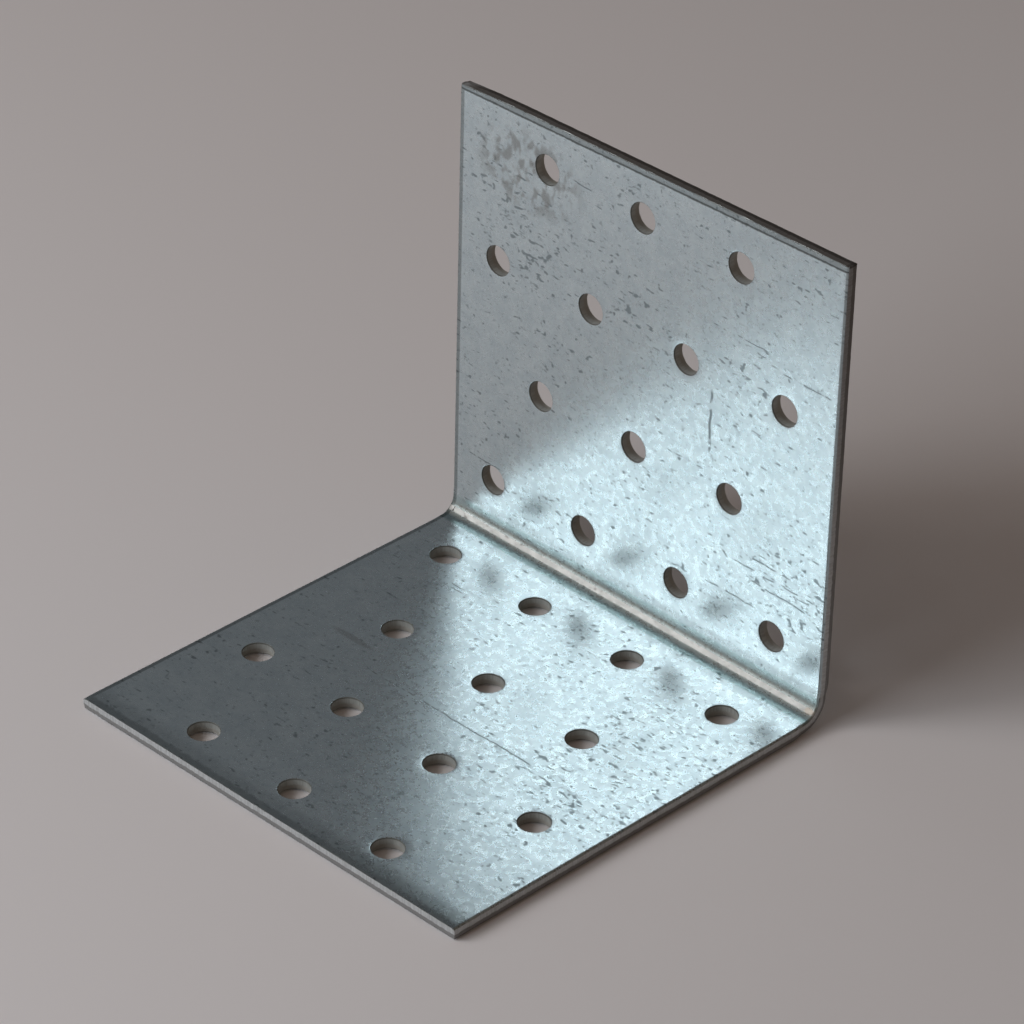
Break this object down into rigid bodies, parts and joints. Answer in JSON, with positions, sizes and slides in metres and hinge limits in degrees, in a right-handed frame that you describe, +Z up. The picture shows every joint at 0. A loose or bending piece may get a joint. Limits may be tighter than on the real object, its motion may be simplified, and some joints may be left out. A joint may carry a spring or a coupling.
{
  "type": "corner brace bracket",
  "caption": "Right-angle corner brace folded from one galvanised steel sheet, both leaves punched with staggered rows of round nail and screw holes.",
  "frame": {"origin": "middle of the underside of the bracket's bounding box, on the surface that it stands on", "axes": "+X along the bend, +Y out of the upright leaf's back face, +Z up the upright leaf; the base leaf reaches out towards -Y"},
  "size_m": [0.0794, 0.0796, 0.0803],
  "materials": {
    "galvanised_sheet": "hot-dip galvanised, satin, with small dark pits and scuffs"
  },
  "bodies": {
    "root": {"bracket": "galvanised_sheet"}
  },
  "joints": []
}
